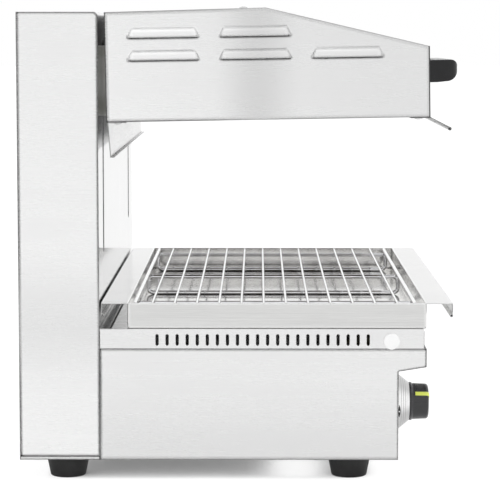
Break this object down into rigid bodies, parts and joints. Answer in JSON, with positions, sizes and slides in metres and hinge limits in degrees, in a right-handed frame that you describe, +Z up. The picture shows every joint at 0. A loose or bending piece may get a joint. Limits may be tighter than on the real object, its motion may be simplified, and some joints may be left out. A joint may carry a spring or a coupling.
{
  "type": "cheese melter",
  "caption": "Countertop electric cheese melter: heating hood that slides on a rear column over a wire rack and drip tray, with a low base, control knobs and rubber feet.",
  "frame": {"origin": "middle of the footprint at table height, under the rubber feet", "axes": "+X to the operator's right along the width, the front with the handle and knobs faces -Y, +Z up"},
  "size_m": [0.607, 0.5072, 0.532],
  "materials": {
    "brushed_side": "vertical and horizontal fine brushing",
    "brushed_hood": "fine brushing across the width",
    "brushed_deck": "fine brushing",
    "bright_panel": "bright rolled",
    "bright_reflector": "bright rolled, straw tint from heat",
    "tray_steel": "fine brushing",
    "rack_chrome": "polished",
    "white_plastic": "gloss",
    "foot_rubber": "matte",
    "screw_steel": "bright",
    "regulator_ceramic": "satin",
    "bezel_aluminium": "satin silver",
    "shaft_steel": "ground",
    "knob_plastic": "satin black",
    "pointer_lime": "satin lime",
    "lamp_orange": "clear orange",
    "lamp_green": "clear green",
    "gland_plastic": "matte black",
    "bracket_zinc": "zinc plated",
    "strut_paint": "gloss black",
    "bush_bronze": "sintered bronze",
    "element_tube": "dark oxide",
    "white_ceramic": "glazed",
    "handle_plastic": "semi-gloss black"
  },
  "bodies": {
    "base": {"base_side_left": "brushed_side", "base_side_right": "brushed_side", "front_panel": "brushed_deck", "floor_pan": "brushed_deck", "deck_pan": "brushed_deck", "side_plugs": "white_plastic", "foot_rear_left": "foot_rubber", "foot_rear_right": "foot_rubber", "foot_front_left": "foot_rubber", "foot_front_right": "foot_rubber", "foot_screws": "screw_steel", "case_screws": "screw_steel", "regulator_left": "regulator_ceramic", "regulator_right": "regulator_ceramic", "knob_bezel_left": "bezel_aluminium", "knob_bezel_right": "bezel_aluminium", "pilot_lamp_left": "lamp_orange", "pilot_lamp_right": "lamp_green", "terminal_block": "regulator_ceramic", "cable_gland": "gland_plastic", "column_side_left": "brushed_side", "column_side_right": "brushed_side", "column_front_panel": "bright_panel", "rear_cover": "brushed_deck", "rod_bracket_lower": "bracket_zinc", "rod_bracket_upper": "bracket_zinc", "guide_rod_left": "shaft_steel", "guide_rod_right": "shaft_steel", "strut_cylinder_left": "strut_paint", "strut_cylinder_right": "strut_paint"},
    "hood": {"strut_rod_left": "shaft_steel", "strut_rod_right": "shaft_steel", "carriage_plate": "bracket_zinc", "carriage_bush_left": "bush_bronze", "carriage_bush_right": "bush_bronze", "arm_left": "bracket_zinc", "arm_right": "bracket_zinc", "hood_skin": "brushed_hood", "hood_side_left": "brushed_hood", "hood_side_right": "brushed_hood", "hood_reflector": "bright_reflector", "element_rear": "element_tube", "element_middle": "element_tube", "element_front": "element_tube", "element_hangers": "bright_reflector", "element_insulators": "white_ceramic", "hood_screws": "screw_steel", "hood_bolts": "screw_steel", "front_deflector": "brushed_hood", "rear_shield": "brushed_hood", "handle": "handle_plastic"},
    "left_knob": {"knob_shaft_left": "shaft_steel", "knob_left": "knob_plastic", "knob_pointer_left": "pointer_lime"},
    "right_knob": {"knob_shaft_right": "shaft_steel", "knob_right": "knob_plastic", "knob_pointer_right": "pointer_lime"},
    "tray": {"drip_tray": "tray_steel"},
    "rack": {"rack_grid": "rack_chrome", "rack_foot_loops": "rack_chrome"}
  },
  "joints": [
    {"name": "hood_slide", "type": "slide", "parent": "base", "child": "hood", "axis": [0, 0, -1], "range_m": [0, 0.15]},
    {"name": "left_knob_turn", "type": "hinge", "parent": "base", "child": "left_knob", "pos_m": [-0.206, -0.16972, 0.077], "axis": [0, 1, 0], "range_deg": [-45, 225]},
    {"name": "right_knob_turn", "type": "hinge", "parent": "base", "child": "right_knob", "pos_m": [0.206, -0.16972, 0.077], "axis": [0, 1, 0], "range_deg": [-45, 225]},
    {"name": "tray_slide", "type": "slide", "parent": "base", "child": "tray", "axis": [0, -1, 0], "range_m": [0, 0.3]},
    {"name": "rack_lift", "type": "slide", "parent": "tray", "child": "rack", "axis": [0, 0, 1], "range_m": [0, 0.036]}
  ]
}
